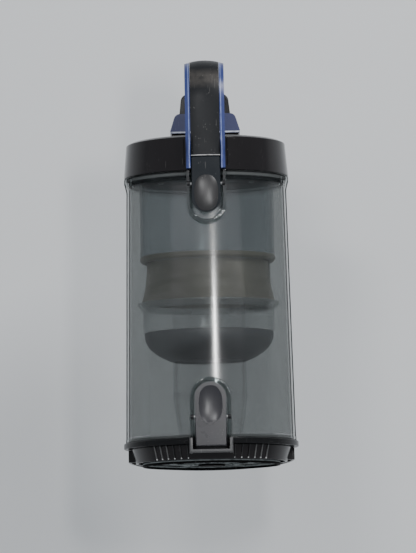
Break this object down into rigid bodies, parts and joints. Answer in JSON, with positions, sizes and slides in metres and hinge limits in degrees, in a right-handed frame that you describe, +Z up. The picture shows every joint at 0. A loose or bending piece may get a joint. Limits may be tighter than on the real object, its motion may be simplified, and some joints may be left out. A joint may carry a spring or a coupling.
{
  "type": "vacuum cleaner dust bin",
  "caption": "Clear cylindrical dust bin of a bagless vacuum cleaner with a cyclone separator, hinged lid with carrying handle, hinged bottom door and press latches.",
  "frame": {"origin": "centre of the base, on the plane that the bin stands on", "axes": "+Z up along the bin's axis, the latches and the handle's grip face -Y, the inlet opens to +Y"},
  "size_m": [0.1558, 0.1742, 0.3585],
  "materials": {
    "smoky_clear": "clear smoky plastic",
    "smoky_dark": "dark translucent plastic",
    "bowl_dark": "dark slate translucent plastic",
    "gloss_black": "glossy black",
    "satin_black": "scuffed satin black",
    "latch_grey": "satin dark grey",
    "periwinkle": "satin blue",
    "cowl_violet": "satin blue-violet",
    "mesh_brown": "fine woven steel mesh, dull with dust",
    "black_rubber": "matte",
    "steel": "bright"
  },
  "bodies": {
    "bin": {"bin_shell": "smoky_clear", "inlet_seal": "black_rubber", "separator_sleeve": "smoky_dark", "screen_ring": "mesh_brown", "mesh_screen": "mesh_brown", "screen_flange": "smoky_dark", "skirt": "smoky_clear", "dust_bowl": "bowl_dark", "outlet_tube": "smoky_dark", "tube_seal": "smoky_dark", "lid_hinge_pin": "steel", "door_hinge_pin": "steel", "lid_latch_pin": "steel", "door_latch_pin": "steel", "lid_latch_spring": "steel", "door_latch_spring": "steel"},
    "lid": {"lid_cover": "gloss_black", "lid_plate": "satin_black", "lid_gasket": "black_rubber", "handle_shell_left": "periwinkle", "handle_shell_right": "periwinkle", "handle_outer_grip": "satin_black", "handle_inner_grip": "satin_black", "rear_cowl": "cowl_violet", "lid_screw_1": "steel", "lid_screw_2": "steel", "lid_screw_3": "steel", "lid_screw_4": "steel", "handle_screw_front": "steel", "handle_screw_rear": "steel", "cowl_screw_left": "steel", "cowl_screw_right": "steel", "release_spring": "steel"},
    "release": {"release_button": "satin_black", "release_hook": "steel"},
    "lid_latch": {"lid_latch_lever": "satin_black", "lid_latch_pad": "latch_grey"},
    "door_latch": {"door_latch_lever": "latch_grey"},
    "door": {"door_rim": "gloss_black", "door_skirt": "gloss_black", "door_floor": "satin_black", "door_grille": "satin_black", "door_seal": "black_rubber", "outlet_socket": "smoky_dark"}
  },
  "joints": [
    {"name": "lid_hinge", "type": "hinge", "parent": "bin", "child": "lid", "pos_m": [0, 0.0805, 0.262], "axis": [-1, 0, 0], "range_deg": [0, 100]},
    {"name": "door_hinge", "type": "hinge", "parent": "bin", "child": "door", "pos_m": [0, 0.083, 0.019], "axis": [1, 0, 0], "range_deg": [0, 110]},
    {"name": "release_slide", "type": "slide", "parent": "lid", "child": "release", "axis": [0, 0, -1], "range_m": [0, 0.004], "stiffness_N_per_m": 600, "deforming": ["release_spring"]},
    {"name": "lid_latch_press", "type": "hinge", "parent": "bin", "child": "lid_latch", "pos_m": [0, -0.0782, 0.2452], "axis": [1, 0, 0], "range_deg": [0, 12], "stiffness_Nm_per_rad": 0.3, "deforming": ["lid_latch_spring"]},
    {"name": "door_latch_press", "type": "hinge", "parent": "bin", "child": "door_latch", "pos_m": [0, -0.0798, 0.0392], "axis": [-1, 0, 0], "range_deg": [0, 9], "stiffness_Nm_per_rad": 0.3, "deforming": ["door_latch_spring"]}
  ]
}
